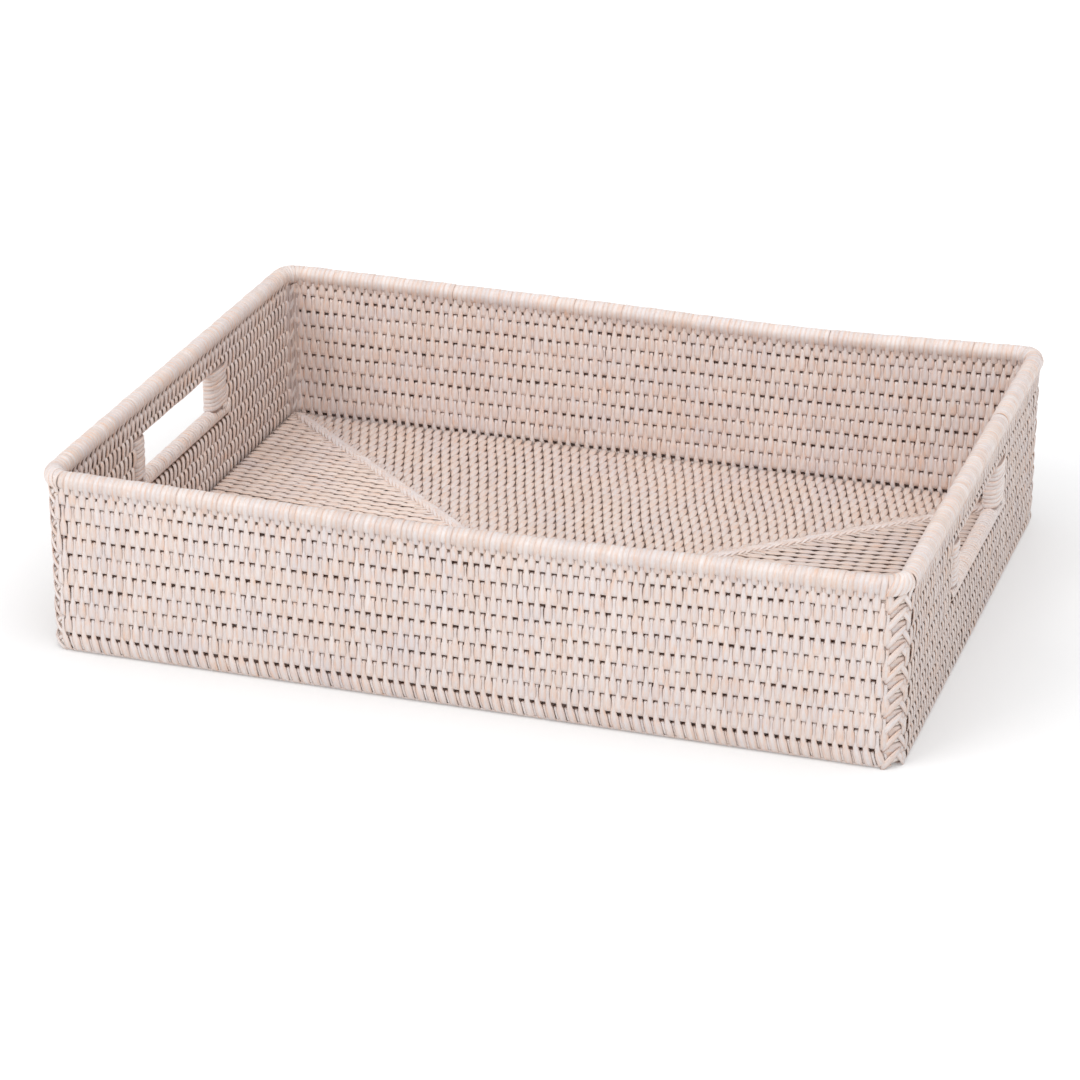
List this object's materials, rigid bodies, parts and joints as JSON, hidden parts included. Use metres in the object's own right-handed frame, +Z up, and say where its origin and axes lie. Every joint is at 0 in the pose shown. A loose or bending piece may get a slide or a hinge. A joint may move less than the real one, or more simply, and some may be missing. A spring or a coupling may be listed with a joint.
{
  "type": "serving tray",
  "caption": "Rectangular woven rattan serving tray with upright walls, a bound rim and a cut-out handle in each short side.",
  "frame": {"origin": "middle of the footprint, at the surface the tray stands on", "axes": "+X along the long side, +Y from the front wall to the back wall, +Z up through the open top"},
  "size_m": [0.48, 0.358, 0.105],
  "materials": {
    "cane_weave": "whitewashed split cane, satin",
    "cane_binding": "whitewashed split cane, satin with soft highlights",
    "cane_braid": "whitewashed split cane, satin",
    "peeled_rod": "peeled rattan, matt"
  },
  "bodies": {
    "root": {"corner_lashing_back_left": "cane_braid", "corner_lashing_back_right": "cane_braid", "corner_lashing_front_left": "cane_braid", "corner_lashing_front_right": "cane_braid", "floor_braid_back_left": "cane_braid", "floor_braid_back_right": "cane_braid", "floor_braid_front_left": "cane_braid", "floor_braid_front_right": "cane_braid", "floor_braid_ridge": "cane_braid", "floor_weave_back": "cane_weave", "floor_weave_front": "cane_weave", "floor_weave_left": "cane_weave", "floor_weave_right": "cane_weave", "foot_rod": "peeled_rod", "handle_post_left_aft": "cane_binding", "handle_post_left_fore": "cane_binding", "handle_post_right_aft": "cane_binding", "handle_post_right_fore": "cane_binding", "handle_rail_binding_left": "cane_binding", "handle_rail_binding_right": "cane_binding", "handle_rail_rod_left": "peeled_rod", "handle_rail_rod_right": "peeled_rod", "rim_binding_back": "cane_binding", "rim_binding_front": "cane_binding", "rim_binding_left": "cane_binding", "rim_binding_right": "cane_binding", "rim_corner_back_left": "cane_binding", "rim_corner_back_right": "cane_binding", "rim_corner_front_left": "cane_binding", "rim_corner_front_right": "cane_binding", "rim_pole": "peeled_rod", "wall_rod_1": "peeled_rod", "wall_rod_2": "peeled_rod", "wall_rod_3_back": "peeled_rod", "wall_rod_3_front": "peeled_rod", "wall_rod_4_back": "peeled_rod", "wall_rod_4_front": "peeled_rod", "wall_rod_5_back": "peeled_rod", "wall_rod_5_front": "peeled_rod", "wall_rod_6": "peeled_rod", "wall_rod_7": "peeled_rod", "wall_rod_8": "peeled_rod", "wall_rod_9": "peeled_rod", "wall_weave_back": "cane_weave", "wall_weave_front": "cane_weave", "wall_weave_left_aft": "cane_weave", "wall_weave_left_fore": "cane_weave", "wall_weave_left_over": "cane_weave", "wall_weave_left_under": "cane_weave", "wall_weave_right_aft": "cane_weave", "wall_weave_right_fore": "cane_weave", "wall_weave_right_over": "cane_weave", "wall_weave_right_under": "cane_weave"}
  },
  "joints": []
}
